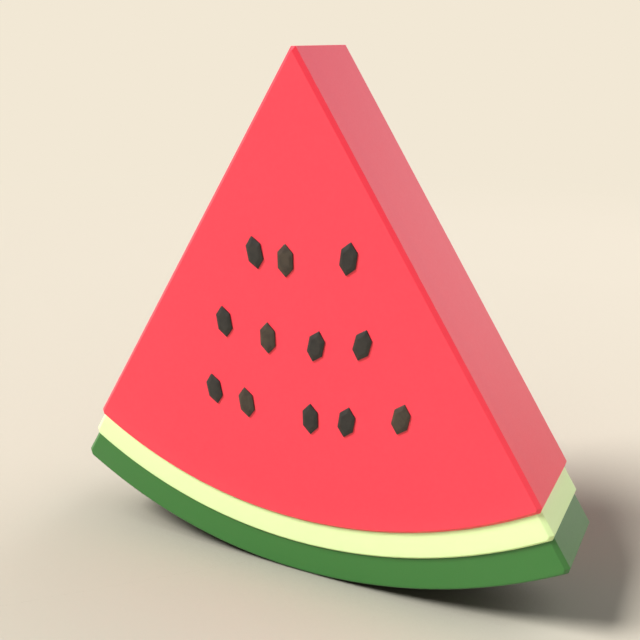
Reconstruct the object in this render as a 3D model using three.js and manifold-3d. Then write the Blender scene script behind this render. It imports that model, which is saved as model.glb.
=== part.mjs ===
import * as THREE from 'three';
import { mergeVertices } from 'three/addons/utils/BufferGeometryUtils.js';
import Module from 'manifold-3d';

// A thick wedge of watermelon that stands on its rind with the tip up.
// Millimetres, +Z up. The origin is the middle of the small flat that it stands on, and the
// front cut face looks towards -Y. The rings of the melon share one middle, near the tip.

// The cut
const halfAngle = THREE.MathUtils.degToRad(32);   // lean of each side face from upright
const fleshThickness = 35.6;                      // from the front cut face to the back one
const sideOffset = 0.6;       // the flesh's side faces pass this far outside the rings' middle
const edgeCut = 1.25;         // narrow flat along every edge
const tipCut = 1.4;           // taken off the tip, measured along each side face

// The rings, from their middle outwards
const fleshRadius = 150;
const paleRadius = 159.2;
const skinRadius = 170.4;
const paleSetback = 1.1;      // the pale rind's cut faces lie this far inside the flesh's
const greenSetback = 2.0;     // and the green rind's lie this far inside them
const layerGap = 0.3;         // clearance between two layers
const arcFacets = 33;         // odd, so that one facet lies flat under the wedge

// The seeds
const seedLength = 10.4;
const seedWidth = 5.3;
const seedShoulder = 2.45;    // the sides run straight this far above and below the middle
const seedRim = 0.3;          // half height of the upright rim
const seedRise = 0.7;         // from a seed's middle out to its flat crown
const seedCrown = 0.64;       // the crown's share of the outline
const seedLift = 0.1;         // the seed's middle stands this far off the cut face

// Each row lies on a ring. A seed is [angle round the ring from straight down, lean of its
// top], in degrees, both positive towards +X.
const frontRows = [
  { radius: 62, seeds: [[-12.4, -12], [-2.4, -1], [17.2, 8]] },
  { radius: 88.1, seeds: [[-16.6, -9], [-6, -2], [5, 12], [15.2, 15]] },
  { radius: 112.4, seeds: [[-15.4, -12], [-9, -9], [2.9, -1], [9.3, 9], [18.7, 12]] },
];
const backRows = [
  { radius: 62, seeds: [[-16, -8], [1, 3], [12, 11]] },
  { radius: 88.1, seeds: [[-15, -13], [-4.5, -8], [7, 1], [17, 10]] },
  { radius: 112.4, seeds: [[-19, -14], [-8, -3], [-1.5, -8], [9.5, 4], [16, 13]] },
];

const fleshColour = 0xf2505c;
const paleColour = 0xe9f2b0;
const greenColour = 0x4a7f42;

const wasm = await Module();
wasm.setup();

function toSolid(geometry) {
  geometry.deleteAttribute('normal');
  geometry.deleteAttribute('uv');
  const merged = mergeVertices(geometry, 1e-4);
  return new wasm.Manifold(new wasm.Mesh({
    numProp: 3,
    vertProperties: new Float32Array(merged.attributes.position.array),
    triVerts: new Uint32Array(merged.index.array),
  }));
}

function toGeometry(solid) {
  const mesh = solid.getMesh();
  const geometry = new THREE.BufferGeometry();
  geometry.setAttribute('position', new THREE.BufferAttribute(mesh.vertProperties, 3));
  geometry.setIndex(new THREE.BufferAttribute(mesh.triVerts, 1));
  geometry.computeVertexNormals();
  return geometry;
}

function onRing(radius, angle) {
  return new THREE.Vector2(radius * Math.sin(angle), -radius * Math.cos(angle));
}

// How far round a ring its arc runs, up to the cut on the corner
function arcEnd(radius, setback) {
  return halfAngle + Math.asin((sideOffset - setback) / radius) - edgeCut / radius;
}

// A layer seen from the front, filled up to the tip: x across, y up, the rings' middle at 0
function sectorShape(radius, setback) {
  const offset = sideOffset - setback;
  const end = arcEnd(radius, setback);
  const corner = onRing(radius, halfAngle + Math.asin(offset / radius));
  const downSide = new THREE.Vector2(Math.sin(halfAngle), -Math.cos(halfAngle));
  const tip = new THREE.Vector2(0, offset / Math.sin(halfAngle));
  const tipEdge = tip.addScaledVector(downSide, tipCut);
  const sideEnd = corner.addScaledVector(downSide, -edgeCut);

  const shape = new THREE.Shape();
  shape.moveTo(-tipEdge.x, tipEdge.y);
  shape.lineTo(-sideEnd.x, sideEnd.y);
  for (let i = 0; i <= arcFacets; i++) {
    const point = onRing(radius, end * (2 * i / arcFacets - 1));
    shape.lineTo(point.x, point.y);
  }
  shape.lineTo(sideEnd.x, sideEnd.y);
  shape.lineTo(tipEdge.x, tipEdge.y);
  shape.closePath();
  return shape;
}

// A sector as a slab with its front and back edges cut flat, standing equally to both sides of z = 0
function sectorSolid(radius, setback) {
  const depth = fleshThickness - 2 * setback - 2 * edgeCut;
  const geometry = new THREE.ExtrudeGeometry(sectorShape(radius, setback), {
    depth,
    bevelEnabled: true,
    bevelThickness: edgeCut,
    bevelSize: edgeCut,
    bevelOffset: -edgeCut,
    bevelSegments: 1,
  });
  geometry.translate(0, 0, -depth / 2);
  return toSolid(geometry);
}

// The room that the layers inside a rind take up, wider and thicker than any of them
function coreSolid(radius) {
  const depth = 2 * fleshThickness;
  const spare = 20;
  const shape = sectorShape(radius + layerGap, -spare);
  const geometry = new THREE.ExtrudeGeometry(shape, { depth, bevelEnabled: false });
  geometry.translate(0, 0, -depth / 2);
  return toSolid(geometry);
}

function rindSolid(outerRadius, innerRadius, setback) {
  return sectorSolid(outerRadius, setback).subtract(coreSolid(innerRadius));
}

// A pointed seed with a long six-sided outline: an upright rim, and slopes up to a flat crown
// and down to its like underneath. Its length is along y and its crown towards z.
function seedSolid() {
  const outline = [
    [0, -seedLength / 2], [seedWidth / 2, -seedShoulder], [seedWidth / 2, seedShoulder],
    [0, seedLength / 2], [-seedWidth / 2, seedShoulder], [-seedWidth / 2, -seedShoulder],
  ];
  const levels = [[seedCrown, seedRise], [1, seedRim], [1, -seedRim], [seedCrown, -seedRise]];
  return wasm.Manifold.hull(levels.flatMap(
    ([share, height]) => outline.map(([x, y]) => [x * share, y * share, height])));
}

// The seeds of one cut face, which lies at height face in front of z = 0, or behind it if negative
function seedSolids(rows, face) {
  const height = face + Math.sign(face) * seedLift;
  const seed = seedSolid();
  return rows.flatMap(({ radius, seeds }) => seeds.map(([angle, lean]) => {
    const place = onRing(radius, THREE.MathUtils.degToRad(angle));
    return seed.rotate([0, 0, -lean]).translate([place.x, place.y, height]);
  }));
}

function fleshSolid() {
  const seeds = [
    ...seedSolids(frontRows, fleshThickness / 2),
    ...seedSolids(backRows, -fleshThickness / 2),
  ];
  return seeds.reduce((flesh, seed) => flesh.add(seed), sectorSolid(fleshRadius, 0));
}

function layer(name, solid, color, roughness) {
  const material = new THREE.MeshStandardMaterial({ color, roughness, metalness: 0 });
  const mesh = new THREE.Mesh(toGeometry(solid), material);
  mesh.name = name;
  return mesh;
}

// Drawn with the front face towards +z, then stood upright on its lowest facet
const group = new THREE.Group();
group.rotation.x = Math.PI / 2;
group.position.z = skinRadius * Math.cos(arcEnd(skinRadius, greenSetback) / arcFacets);
group.add(
  layer('flesh', fleshSolid(), fleshColour, 0.55),
  layer('pale_rind', rindSolid(paleRadius, fleshRadius, paleSetback), paleColour, 0.6),
  layer('green_rind', rindSolid(skinRadius, paleRadius, greenSetback), greenColour, 0.5),
);

export default group;
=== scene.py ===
import math

import bmesh
import bpy
from mathutils import Matrix, Vector


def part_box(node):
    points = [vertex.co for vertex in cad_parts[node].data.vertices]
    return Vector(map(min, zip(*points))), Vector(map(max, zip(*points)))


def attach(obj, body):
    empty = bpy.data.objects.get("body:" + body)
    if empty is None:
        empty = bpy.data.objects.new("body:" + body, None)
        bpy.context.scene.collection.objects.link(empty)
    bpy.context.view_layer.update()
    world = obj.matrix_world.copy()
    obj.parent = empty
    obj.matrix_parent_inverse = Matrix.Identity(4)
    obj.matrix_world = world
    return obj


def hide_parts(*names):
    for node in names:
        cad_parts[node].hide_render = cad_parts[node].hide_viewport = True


# A wedge of watermelon that stands on its rind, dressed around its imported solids.
# Metres, +Z up, front cut face towards -Y.

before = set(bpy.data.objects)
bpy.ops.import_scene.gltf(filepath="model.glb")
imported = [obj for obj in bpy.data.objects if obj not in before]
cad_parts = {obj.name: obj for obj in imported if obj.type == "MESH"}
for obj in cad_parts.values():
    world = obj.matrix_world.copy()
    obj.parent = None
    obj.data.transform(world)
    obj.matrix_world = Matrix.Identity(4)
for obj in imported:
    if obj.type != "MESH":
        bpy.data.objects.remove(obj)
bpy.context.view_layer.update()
print("frame loaded")

mm = 0.001


# Sockets and nodes

class Wire:
    # one output of a shader node, so that maths on values reads as plain expressions
    def __init__(self, tree, socket):
        self.tree = tree
        self.socket = socket

    def math(self, operation, first, second=0.0):
        return addNode(self.tree, "ShaderNodeMath", {"operation": operation}, {0: first, 1: second})

    def __add__(self, other):
        return self.math("ADD", self, other)

    def __radd__(self, other):
        return self.math("ADD", other, self)

    def __sub__(self, other):
        return self.math("SUBTRACT", self, other)

    def __rsub__(self, other):
        return self.math("SUBTRACT", other, self)

    def __mul__(self, other):
        return self.math("MULTIPLY", self, other)

    def __rmul__(self, other):
        return self.math("MULTIPLY", other, self)

    def __pow__(self, other):
        return self.math("POWER", self, other)

    def __rpow__(self, other):
        return self.math("POWER", other, self)

    def sine(self):
        return self.math("SINE", self)


def addNode(tree, kind, settings=None, sockets=None, output=0):
    # settings first, because they can change which sockets there are
    node = tree.nodes.new(kind)
    for name, value in (settings or {}).items():
        if name == "stops":
            ramp = node.color_ramp.elements
            while len(ramp) < len(value):
                ramp.new(0.5)
            for element, (position, color) in zip(ramp, value):
                element.position = position
                element.color = color
        else:
            setattr(node, name, value)
    for name, value in (sockets or {}).items():
        if isinstance(value, Wire):
            tree.links.new(value.socket, node.inputs[name])
        else:
            node.inputs[name].default_value = value
    return Wire(tree, node.outputs[output])


def linear(red, green, blue):
    # a colour as it is seen on a screen, 0 to 255, as Blender wants it
    def toLinear(value):
        share = value / 255
        return share / 12.92 if share <= 0.04045 else ((share + 0.055) / 1.055) ** 2.4
    return (toLinear(red), toLinear(green), toLinear(blue), 1.0)


def place(tree):
    # where a point lies on the object, in metres
    return addNode(tree, "ShaderNodeTexCoord", output="Object")


def component(tree, vector, axis):
    return addNode(tree, "ShaderNodeSeparateXYZ", {}, {"Vector": vector}, axis)


def noise(tree, vector, size, detail=3.0):
    # soft noise with blotches of about this size
    sockets = {"Vector": vector, "Scale": 1 / size, "Detail": detail, "Roughness": 0.5}
    return addNode(tree, "ShaderNodeTexNoise", {}, sockets, "Fac")


def cells(tree, vector, size):
    # distance from the middle of each cell of about this size
    sockets = {"Vector": vector, "Scale": 1 / size}
    return addNode(tree, "ShaderNodeTexVoronoi", {"feature": "F1"}, sockets, "Distance")


def between(tree, value, low, high):
    # 0 at low, 1 at high, level beyond them and smooth in between
    settings = {"interpolation_type": "SMOOTHSTEP"}
    sockets = {"Value": value, "From Min": low, "From Max": high}
    return addNode(tree, "ShaderNodeMapRange", settings, sockets)


def mixColors(tree, share, first, second, blendType="MIX"):
    # 6 and 7 are the node's two colours, and 2 is its colour output
    settings = {"data_type": "RGBA", "blend_type": blendType, "clamp_factor": True}
    return addNode(tree, "ShaderNodeMix", settings, {0: share, 6: first, 7: second}, 2)


def bump(tree, height, strength, distance):
    sockets = {"Height": height, "Strength": strength, "Distance": distance}
    return addNode(tree, "ShaderNodeBump", {}, sockets, "Normal")


def newMaterial(name, fixed):
    # a material with its Principled shader, whose fixed values are set on the shader itself
    material = bpy.data.materials.new(name)
    material.use_nodes = True
    tree = material.node_tree
    shader = tree.nodes["Principled BSDF"]
    for socket, value in fixed.items():
        shader.inputs[socket].default_value = value
    return material, tree, shader


def feed(tree, shader, links):
    for socket, wire in links.items():
        tree.links.new(wire.socket, shader.inputs[socket])


# The wedge's sizes, in metres

cut = {
    "halfAngle": math.radians(32),     # lean of each side face from upright
    "sideOffset": 0.6 * mm,            # the flesh's side faces pass this far outside the rings' middle
    "edge": 1.25 * mm,                 # narrow flat along every edge
    "tip": 1.4 * mm,                   # taken off the tip, along each side face
    "rounding": 0.6 * mm,              # where the narrow flats meet the front and the back
    "outerShare": 0.3,                 # of that rounding on all other borders
    "roundingSteps": 3,
    "sharpFrom": math.radians(12),     # faces that meet at less than this stay one smooth face
    "arcSteps": 132,
}

# arcShare is the height of the narrow flat along the arc, as a share of its depth
layers = {
    "flesh": {"radius": 150.0 * mm, "inner": 0.0, "setback": 0.0, "arcShare": 0.95},
    "pale_rind": {"radius": 159.2 * mm, "inner": 149.6 * mm, "setback": 1.1 * mm, "arcShare": 0.45},
    "green_rind": {"radius": 170.4 * mm, "inner": 158.8 * mm, "setback": 2.0 * mm, "arcShare": 0.4},
}

seedForm = {
    "length": 10.4 * mm,
    "width": 5.3 * mm,
    "shoulder": 2.45 * mm,             # the sides run straight this far above and below the middle
    "rim": 0.3 * mm,                   # half height of the upright rim
    "rise": 0.7 * mm,                  # from the seed's middle out to its flat crown
    "crownShare": 0.64,                # of the outline, for the crown
    "lift": 0.1 * mm,                  # the middle stands this far off the cut face
    "rounding": 0.18 * mm,
}

# radius of each row's ring, and its seeds: angle round the ring from straight down and lean of
# the seed's top, in degrees, and the seed's shade
frontRows = [
    (62.0 * mm, [(-12.4, -12, "dark"), (-2.4, -1, "brown"), (17.2, 8, "dark")]),
    (88.1 * mm, [(-16.6, -9, "dark"), (-6, -2, "brown"), (5, 12, "dark"), (15.2, 15, "dark")]),
    (112.4 * mm, [(-15.4, -12, "dark"), (-9, -9, "brown"), (2.9, -1, "dark"), (9.3, 9, "dark"),
                  (18.7, 12, "brown")]),
]
backRows = [
    (62.0 * mm, [(-16, -8, "brown"), (1, 3, "dark"), (12, 11, "dark")]),
    (88.1 * mm, [(-15, -13, "dark"), (-4.5, -8, "dark"), (7, 1, "brown"), (17, 10, "dark")]),
    (112.4 * mm, [(-19, -14, "dark"), (-8, -3, "brown"), (-1.5, -8, "dark"), (9.5, 4, "dark"),
                  (16, 13, "brown")]),
]

# from the middle plane out to each layer's cut face; the seeds' crowns reach the flesh's box
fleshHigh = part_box("flesh")[1]
halfDepths = {
    "flesh": fleshHigh.y - seedForm["lift"] - seedForm["rise"],
    "pale_rind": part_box("pale_rind")[1].y,
    "green_rind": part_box("green_rind")[1].y,
}
# the rings' middle, above the flat that the wedge stands on
tipAbove = cut["sideOffset"] / math.sin(cut["halfAngle"]) - cut["tip"] * math.cos(cut["halfAngle"])
ringsMiddle = fleshHigh.z - tipAbove


# Shapes

def polar(radius, angle):
    # angle is from straight down, positive towards +X
    return Vector((radius * math.sin(angle), -radius * math.cos(angle)))


def outerOutline(layer, inset):
    # right half of a layer's outline from the end of its arc up to the tip, moved in by inset
    halfAngle, edge = cut["halfAngle"], cut["edge"]
    radius = layer["radius"]
    offset = cut["sideOffset"] - layer["setback"]
    cornerAngle = halfAngle + math.asin(offset / radius)
    corner = polar(radius, cornerAngle)
    downSide = polar(1, halfAngle)
    outSide = Vector((math.cos(halfAngle), math.sin(halfAngle)))
    sideEnd = corner - downSide * edge
    arcEnd = polar(radius, cornerAngle - edge / radius)
    along = (sideEnd - arcEnd).normalized()
    outCorner = Vector((along.y, -along.x))
    cornerReach = sideEnd.dot(outCorner) - inset
    sideReach = offset - inset

    def meet(firstOut, firstReach, secondOut, secondReach):
        return Matrix((firstOut, secondOut)).inverted() @ Vector((firstReach, secondReach))

    outAngle = math.atan2(outCorner.x, -outCorner.y)
    lastAngle = outAngle - math.acos(cornerReach / (radius - inset * layer["arcShare"]))
    tipHeight = offset / math.sin(halfAngle) - cut["tip"] * math.cos(halfAngle)
    return {
        "arc": lastAngle,
        "sideEnd": meet(outSide, sideReach, outCorner, cornerReach),
        "tipEdge": meet(outSide, sideReach, Vector((0, 1)), tipHeight - inset),
    }


def ringAt(layer, inset):
    # the whole outline at one depth, anticlockwise from the front: the arc first, then up the
    # right side and down the left one, or back along the inner arc
    radius = layer["radius"] - inset * layer["arcShare"]
    outline = outerOutline(layer, inset)
    steps = cut["arcSteps"]
    points = [polar(radius, outline["arc"] * (2 * i / steps - 1)) for i in range(steps + 1)]
    sideEnd, tipEdge = outline["sideEnd"], outline["tipEdge"]
    points.append(sideEnd)
    if layer["inner"] == 0:
        points += [tipEdge, Vector((-tipEdge.x, tipEdge.y))]
    else:
        inner = layer["inner"]
        sideReach = cut["sideOffset"] - layer["setback"] - inset
        end = cut["halfAngle"] + math.asin(sideReach / inner)
        points += [polar(inner, end * (1 - 2 * i / steps)) for i in range(steps + 1)]
    points.append(Vector((-sideEnd.x, sideEnd.y)))
    return points


def joinRings(mesh, rings):
    # four-sided faces between each ring of corners and the next
    count = len(rings[0])
    for near, far in zip(rings, rings[1:]):
        for i in range(count):
            j = (i + 1) % count
            mesh.faces.new((near[i], near[j], far[j], far[i]))


def capBand(mesh, ring):
    # a rind's cut face as a strip of four-sided faces between its two arcs
    steps = cut["arcSteps"]
    left, right = ring[-1], ring[steps + 1]
    outer = ring[:steps + 1]
    inner = list(reversed(ring[steps + 2:2 * steps + 3]))
    for i in range(steps):
        mesh.faces.new((outer[i], outer[i + 1], inner[i + 1], inner[i]))
    mesh.faces.new((outer[-1], right, inner[-1]))
    mesh.faces.new((left, outer[0], inner[0]))


def weighBorders(mesh, weigh):
    # marks for rounding the edges where two faces meet at an angle
    marks = mesh.edges.layers.float.new("bevel_weight_edge")
    for border in mesh.edges:
        if border.calc_face_angle(0) > cut["sharpFrom"]:
            border[marks] = weigh(border)


def finishMesh(name, mesh, rounding):
    # rounds the borders by their weights, keeps the wide faces flat, and leaves a plain mesh
    data = bpy.data.meshes.new(name)
    mesh.to_mesh(data)
    mesh.free()
    for polygon in data.polygons:
        polygon.use_smooth = True
    piece = bpy.data.objects.new(name, data)
    bpy.context.scene.collection.objects.link(piece)
    bevel = piece.modifiers.new("Rounding", "BEVEL")
    bevel.width = rounding
    bevel.segments = cut["roundingSteps"]
    bevel.limit_method = "WEIGHT"
    weighted = piece.modifiers.new("Shading", "WEIGHTED_NORMAL")
    weighted.weight = 100              # the widest faces decide
    weighted.keep_sharp = True
    bpy.context.view_layer.update()
    shown = piece.evaluated_get(bpy.context.evaluated_depsgraph_get())
    final = bpy.data.meshes.new_from_object(shown)
    piece.modifiers.clear()
    piece.data = final
    return piece


def buildLayer(name):
    # a slab with its outline at four depths: front face, front edge, back edge, back face
    layer, half, edge = layers[name], halfDepths[name], cut["edge"]
    mesh = bmesh.new()
    rings = []
    for inset, depth in ((edge, -half), (0, -half + edge), (0, half - edge), (edge, half)):
        points = ringAt(layer, inset)
        rings.append([
            mesh.verts.new((p.x, depth, max(p.y + ringsMiddle, 0.0))) for p in points])
    joinRings(mesh, rings)
    for ring in (rings[0], rings[-1]):
        if layer["inner"] == 0:
            mesh.faces.new(ring)
        else:
            capBand(mesh, ring)
    bmesh.ops.recalc_face_normals(mesh, faces=mesh.faces)
    onFace = set(rings[0] + rings[-1])
    weighBorders(mesh, lambda border: 1 if onFace.issuperset(border.verts) else cut["outerShare"])
    return finishMesh(name + "_cut", mesh, cut["rounding"])


def buildSeed(name, radius, angle, lean, face):
    # a flat seed with a long six-sided outline, an upright rim, and slopes to a flat crown
    form = seedForm
    mesh = bmesh.new()
    outSign = math.copysign(1, face)
    long, wide, shoulder = form["length"] / 2, form["width"] / 2, form["shoulder"]
    outline = [
        (0, -long), (wide, -shoulder), (wide, shoulder),
        (0, long), (-wide, shoulder), (-wide, -shoulder)]
    crown, rim, rise = form["crownShare"], form["rim"], form["rise"]
    levels = [(crown, -rise), (1, -rim), (1, rim), (crown, rise)]
    rings = [
        [mesh.verts.new((x * share, out * outSign, z * share)) for x, z in outline]
        for share, out in levels]
    joinRings(mesh, rings)
    mesh.faces.new(rings[0])
    mesh.faces.new(rings[-1])
    bmesh.ops.recalc_face_normals(mesh, faces=mesh.faces)
    weighBorders(mesh, lambda border: 1)
    spot = polar(radius, math.radians(angle))
    where = Vector((spot.x, face + outSign * form["lift"], spot.y + ringsMiddle))
    turned = Matrix.Translation(where) @ Matrix.Rotation(math.radians(lean), 4, "Y")
    bmesh.ops.transform(mesh, matrix=turned, verts=mesh.verts)
    return finishMesh(name, mesh, form["rounding"])


# Finishes: colours are as seen on a screen, and each share says how far a colour is mixed in

wetGloss = {"IOR": 1.5}


def ringRadius(tree, where):
    # distance from the rings' middle, across the front
    across = component(tree, where, "X")
    up = component(tree, where, "Z") - ringsMiddle
    return (across * across + up * up) ** 0.5


fleshLook = {
    "color": (249, 60, 79),
    "deep": (242, 48, 68),
    "pale": (252, 86, 101),
    "grainSize": 1.5 * mm,
    "grainShare": 0.10,
    "fineSize": 0.6 * mm,
    "mottleSize": 22 * mm,
    "mottleShare": 0.16,
    "rimWidth": 10 * mm,               # paler this far in from the rind
    "rimShare": 0.12,
    "roughness": 0.44,
    "roughnessSwing": 0.16,
    "bumpStrength": 0.35,
    "bumpHeight": 0.05 * mm,
    "bumpMix": (0.7, 0.5),             # of the grain and of the fine noise
}


def fleshMaterial():
    look = fleshLook
    material, tree, shader = newMaterial("fleshOfMelon", wetGloss)
    where = place(tree)
    grain = cells(tree, where, look["grainSize"])
    fine = noise(tree, where, look["fineSize"])
    mottle = noise(tree, where, look["mottleSize"])
    end = layers["flesh"]["radius"]
    nearRind = between(tree, ringRadius(tree, where), end - look["rimWidth"], end)
    deep, pale = linear(*look["deep"]), linear(*look["pale"])
    mottled = mixColors(tree, mottle * look["mottleShare"], linear(*look["color"]), deep)
    grained = mixColors(tree, grain * look["grainShare"], mottled, pale)
    color = mixColors(tree, nearRind * look["rimShare"], grained, pale)
    grainMix, fineMix = look["bumpMix"]
    height = grain * grainMix + fine * fineMix
    feed(tree, shader, {
        "Base Color": color,
        "Roughness": look["roughness"] + (fine - 0.5) * look["roughnessSwing"],
        "Normal": bump(tree, height, look["bumpStrength"], look["bumpHeight"]),
    })
    return material


paleLook = {
    "color": (227, 252, 183),
    "nearFlesh": (232, 246, 189),
    "nearSkin": (214, 243, 168),
    "blendWidth": 3 * mm,              # both borders blend in over this width
    "fleshShare": 0.5,
    "skinShare": 0.4,
    "grainSize": 0.9 * mm,
    "grainShare": 0.2,
    "roughness": 0.44,
    "roughnessSwing": 0.12,
    "bumpStrength": 0.25,
    "bumpHeight": 0.03 * mm,
}


def paleMaterial():
    look = paleLook
    material, tree, shader = newMaterial("paleRind", wetGloss)
    where = place(tree)
    grain = cells(tree, where, look["grainSize"])
    fine = noise(tree, where, look["grainSize"])
    radius = ringRadius(tree, where)
    inner, outer = layers["flesh"]["radius"], layers["pale_rind"]["radius"]
    inward = between(tree, radius, inner + look["blendWidth"], inner)
    outward = between(tree, radius, outer - look["blendWidth"], outer)
    nearFlesh, nearSkin = linear(*look["nearFlesh"]), linear(*look["nearSkin"])
    first = mixColors(tree, inward * look["fleshShare"], linear(*look["color"]), nearFlesh)
    second = mixColors(tree, outward * look["skinShare"], first, nearSkin)
    feed(tree, shader, {
        "Base Color": mixColors(tree, fine * look["grainShare"], second, nearSkin),
        "Roughness": look["roughness"] + (fine - 0.5) * look["roughnessSwing"],
        "Normal": bump(tree, grain, look["bumpStrength"], look["bumpHeight"]),
    })
    return material


greenLook = {
    "cut": (58, 118, 54),
    "cutDeep": (46, 105, 45),
    "deepWidth": 2.0 * mm,             # the cut darkens this far in from the skin
    "deepShare": 0.5,
    "skin": (52, 106, 47),
    "skinBand": (0.5 * mm, 0.15 * mm),     # the skin's colour starts and is full this far in
    "stripe": (30, 74, 36),
    "stripeStep": 21 * mm,
    "stripeWander": 16 * mm,
    "wanderSize": 14 * mm,
    "stripeEdge": (0.1, 0.75),         # of the wave, where a stripe starts and where it is full
    "stripeShare": 0.8,
    "grainSize": 0.7 * mm,
    "grainShare": 0.15,
    "roughness": 0.36,
    "roughnessSwing": 0.12,
    "bumpStrength": 0.2,
    "bumpHeight": 0.025 * mm,
}


def greenMaterial():
    look = greenLook
    material, tree, shader = newMaterial("greenRind", wetGloss)
    where = place(tree)
    fine = noise(tree, where, look["grainSize"])
    wander = noise(tree, where, look["wanderSize"])
    radius = ringRadius(tree, where)
    outer = layers["green_rind"]["radius"]
    nearSkin = between(tree, radius, outer - look["deepWidth"], outer)
    start, full = look["skinBand"]
    onSkin = between(tree, radius, outer - start, outer - full)
    wandered = component(tree, where, "X") + (wander - 0.5) * look["stripeWander"]
    turns = wandered * (2 * math.pi / look["stripeStep"])
    stripe = between(tree, turns.sine(), *look["stripeEdge"])
    deepShare = nearSkin * look["deepShare"] + fine * look["grainShare"]
    cutColor = mixColors(tree, deepShare, linear(*look["cut"]), linear(*look["cutDeep"]))
    skin, dark = linear(*look["skin"]), linear(*look["stripe"])
    skinColor = mixColors(tree, stripe * look["stripeShare"], skin, dark)
    feed(tree, shader, {
        "Base Color": mixColors(tree, onSkin, cutColor, skinColor),
        "Roughness": look["roughness"] + (fine - 0.5) * look["roughnessSwing"],
        "Normal": bump(tree, fine, look["bumpStrength"], look["bumpHeight"]),
    })
    return material


seedCoats = {
    "dark": {"color": (43, 40, 36), "shade": (30, 28, 26)},
    "brown": {"color": (64, 54, 43), "shade": (47, 38, 30)},
}
seedLook = {
    "mottleSize": 2.2 * mm,
    "mottleEdge": (0.35, 0.75),        # of the noise, where the shade starts and where it is full
    "fineSize": 0.35 * mm,
    "roughness": 0.5,
    "roughnessSwing": 0.2,
    "bumpStrength": 0.2,
    "bumpHeight": 0.02 * mm,
}


def seedMaterial(coatName):
    look, coat = seedLook, seedCoats[coatName]
    material, tree, shader = newMaterial(coatName + "SeedCoat", wetGloss)
    where = place(tree)
    mottle = between(tree, noise(tree, where, look["mottleSize"]), *look["mottleEdge"])
    fine = noise(tree, where, look["fineSize"], 2.0)
    feed(tree, shader, {
        "Base Color": mixColors(tree, mottle, linear(*coat["color"]), linear(*coat["shade"])),
        "Roughness": look["roughness"] + (fine - 0.5) * look["roughnessSwing"],
        "Normal": bump(tree, fine, look["bumpStrength"], look["bumpHeight"]),
    })
    return material


finishes = {
    "flesh": fleshMaterial(),
    "pale_rind": paleMaterial(),
    "green_rind": greenMaterial(),
    "dark": seedMaterial("dark"),
    "brown": seedMaterial("brown"),
}
print("finishes made")


# Pieces

def dress(piece, finish, node):
    piece.data.materials.clear()
    piece.data.materials.append(finish)
    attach(piece, "root")
    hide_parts(node)


for layerName in layers:
    dress(buildLayer(layerName), finishes[layerName], layerName)
print("flesh and rinds built")

fleshFace = halfDepths["flesh"]
for sideName, rows, face in (("front", frontRows, -fleshFace), ("back", backRows, fleshFace)):
    number = 0
    for radius, seeds in rows:
        for angle, lean, coatName in seeds:
            number += 1
            seed = buildSeed("seed_%s_%d" % (sideName, number), radius, angle, lean, face)
            dress(seed, finishes[coatName], "flesh")
print("seeds set")


# Floor, light and camera

studio = {
    "floorSize": 60.0,
    "floorShare": 0.652,               # of the background's colour, for the floor's own
    "background": (242, 232, 213),
    # painted shade: the floor's colour darkens where the wedge closes it in, standing in for its
    # shadow
    "paintedShadeReach": 0.4,                  # what stands within this distance darkens the floor
    "paintedShadeSamples": 16,
    # the floor's painted shade: its colour by how open it lies
    "paintedShadeTones": [
        (0.0, 0.10), (0.35, 0.44), (0.45, 0.57), (0.55, 0.70),
        (0.65, 0.78), (0.75, 0.83), (0.85, 0.865), (1.0, 1.0)],
    # in front the flesh throws red light on the floor, which a painted tint with less red, on the
    # floor's colour around one spot, partly cancels
    "counterBounceSpot": (10 * mm, -80 * mm, 0.0),
    "counterBounceReach": (150 * mm, 30 * mm),
    "counterBounceTint": (0.95, 1.03, 1.03, 1.0),
    "haze": (0.45, 0.9),               # between these distances the floor fades into the background
    "horizonBand": (0.14, 0.42),       # the world dims between these heights, as sines
    "zenith": 0.03,                    # share of the background's light from above
}

# where each light stands: turn from +X towards +Y and height, in degrees
suns = {
    "key": {"turn": 222, "height": 48, "spread": 21, "strength": 4.95, "color": (1.0, 1.0, 1.0)},
    "fill": {"turn": 29, "height": 53, "spread": 48, "strength": 0.66, "color": (0.94, 1.0, 1.06)},
}

# a broad panel behind on the right, which the right side face mirrors
panel = {
    "turn": 64,
    "height": 24,
    "far": 2.5,
    "across": 2.5,
    "radiance": 1.28,
    "color": (1.0, 0.93, 1.07),
}

view = {
    "lens": 50.0,
    "sensor": 36.0,
    "place": (123.5 * mm, -246.4 * mm, 172.9 * mm),
    "turn": math.radians(26.6),
    "dip": math.radians(17.71),
}


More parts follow.
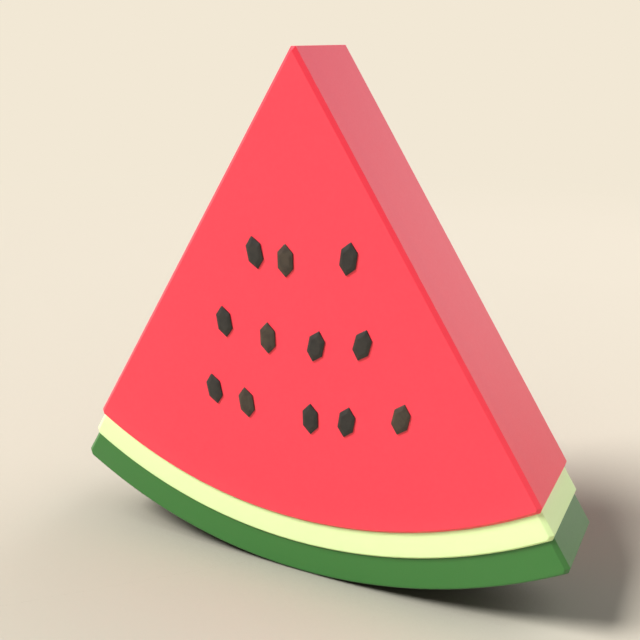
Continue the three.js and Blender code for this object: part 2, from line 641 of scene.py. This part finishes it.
def floorMaterial():
    # pale paper with painted shade, darker where it lies close to the wedge, and a painted tint
    # against the flesh's red bounce light in front, that fades into the background
    paper = {"Roughness": 1.0, "Specular IOR Level": 0.0}
    material, tree, shader = newMaterial("floorPaper", paper)
    background = linear(*studio["background"])
    rays = {"samples": studio["paintedShadeSamples"]}
    reach = {"Distance": studio["paintedShadeReach"]}
    # painted shade: ambient occlusion darkens the floor's colour near the wedge
    openness = addNode(tree, "ShaderNodeAmbientOcclusion", rays, reach, "AO")
    stops = []
    for openAt, tone in studio["paintedShadeTones"]:
        stops.append((openAt, [c * studio["floorShare"] * tone for c in background[:3]] + [1.0]))
    shadePaintedPaper = addNode(tree, "ShaderNodeValToRGB", {"stops": stops}, {"Fac": openness})
    where = place(tree)
    # a painted tint that cancels part of the flesh's red bounce light on the floor
    spot = {0: where, 1: studio["counterBounceSpot"]}
    aside = addNode(tree, "ShaderNodeVectorMath", {"operation": "DISTANCE"}, spot, "Value")
    nearCounterSpot = between(tree, aside, *studio["counterBounceReach"])
    counterTinted = mixColors(tree, 1.0, shadePaintedPaper, studio["counterBounceTint"], "MULTIPLY")
    feed(tree, shader, {"Base Color": mixColors(tree, nearCounterSpot, shadePaintedPaper, counterTinted)})
    far = addNode(tree, "ShaderNodeVectorMath", {"operation": "LENGTH"}, {0: where}, "Value")
    blend = addNode(tree, "ShaderNodeMixShader", {}, {
        0: between(tree, far, *studio["haze"]),
        1: Wire(tree, shader.outputs["BSDF"]),
        2: addNode(tree, "ShaderNodeEmission", {}, {"Color": background}),
    })
    tree.links.new(blend.socket, tree.nodes["Material Output"].inputs["Surface"])
    return material


def buildFloor():
    mesh = bmesh.new()
    bmesh.ops.create_grid(mesh, x_segments=1, y_segments=1, size=studio["floorSize"] / 2)
    data = bpy.data.meshes.new("floor")
    mesh.to_mesh(data)
    mesh.free()
    data.materials.append(floorMaterial())
    floor = bpy.data.objects.new("floor", data)
    bpy.context.scene.collection.objects.link(floor)


def buildWorld():
    # bright round the horizon, as the picture's background, and dim above
    world = bpy.data.worlds.new("studioAir")
    bpy.context.scene.world = world
    world.use_nodes = True
    tree = world.node_tree
    direction = addNode(tree, "ShaderNodeTexCoord", output="Generated")
    dim = between(tree, component(tree, direction, "Z"), *studio["horizonBand"])
    background = linear(*studio["background"])
    zenith = [c * studio["zenith"] for c in background[:3]] + [1.0]
    air = mixColors(tree, dim, background, zenith)
    tree.links.new(air.socket, tree.nodes["Background"].inputs["Color"])


def addLamp(name, data, look):
    # a light that shines from its turn and height towards the middle of the floor
    data.color = look["color"]
    lamp = bpy.data.objects.new(name, data)
    turn, height = math.radians(look["turn"]), math.radians(look["height"])
    lamp.rotation_euler = (math.pi / 2 - height, 0, turn + math.pi / 2)
    level = math.cos(height)
    away = Vector((level * math.cos(turn), level * math.sin(turn), math.sin(height)))
    lamp.location = away * look.get("far", 1.0)
    bpy.context.scene.collection.objects.link(lamp)
    return lamp


def buildLights():
    for name, sun in suns.items():
        data = bpy.data.lights.new(name, "SUN")
        data.energy = sun["strength"]
        data.angle = math.radians(sun["spread"])
        addLamp(name, data, sun)
    data = bpy.data.lights.new("panel", "AREA")
    data.shape = "DISK"
    data.size = panel["across"]
    area = math.pi * (panel["across"] / 2) ** 2
    data.energy = panel["radiance"] * math.pi * area
    lamp = addLamp("panel", data, panel)
    lamp.visible_camera = False        # it lights the wedge and isn't in the picture


def buildCamera():
    data = bpy.data.cameras.new("camera")
    data.lens = view["lens"]
    data.sensor_width = view["sensor"]
    camera = bpy.data.objects.new("camera", data)
    camera.location = view["place"]
    camera.rotation_euler = (math.pi / 2 - view["dip"], 0, view["turn"])
    bpy.context.scene.collection.objects.link(camera)
    bpy.context.scene.camera = camera


buildFloor()
buildWorld()
buildLights()
buildCamera()
bpy.context.scene.view_settings.view_transform = "Standard"
print("floor, light and camera set")
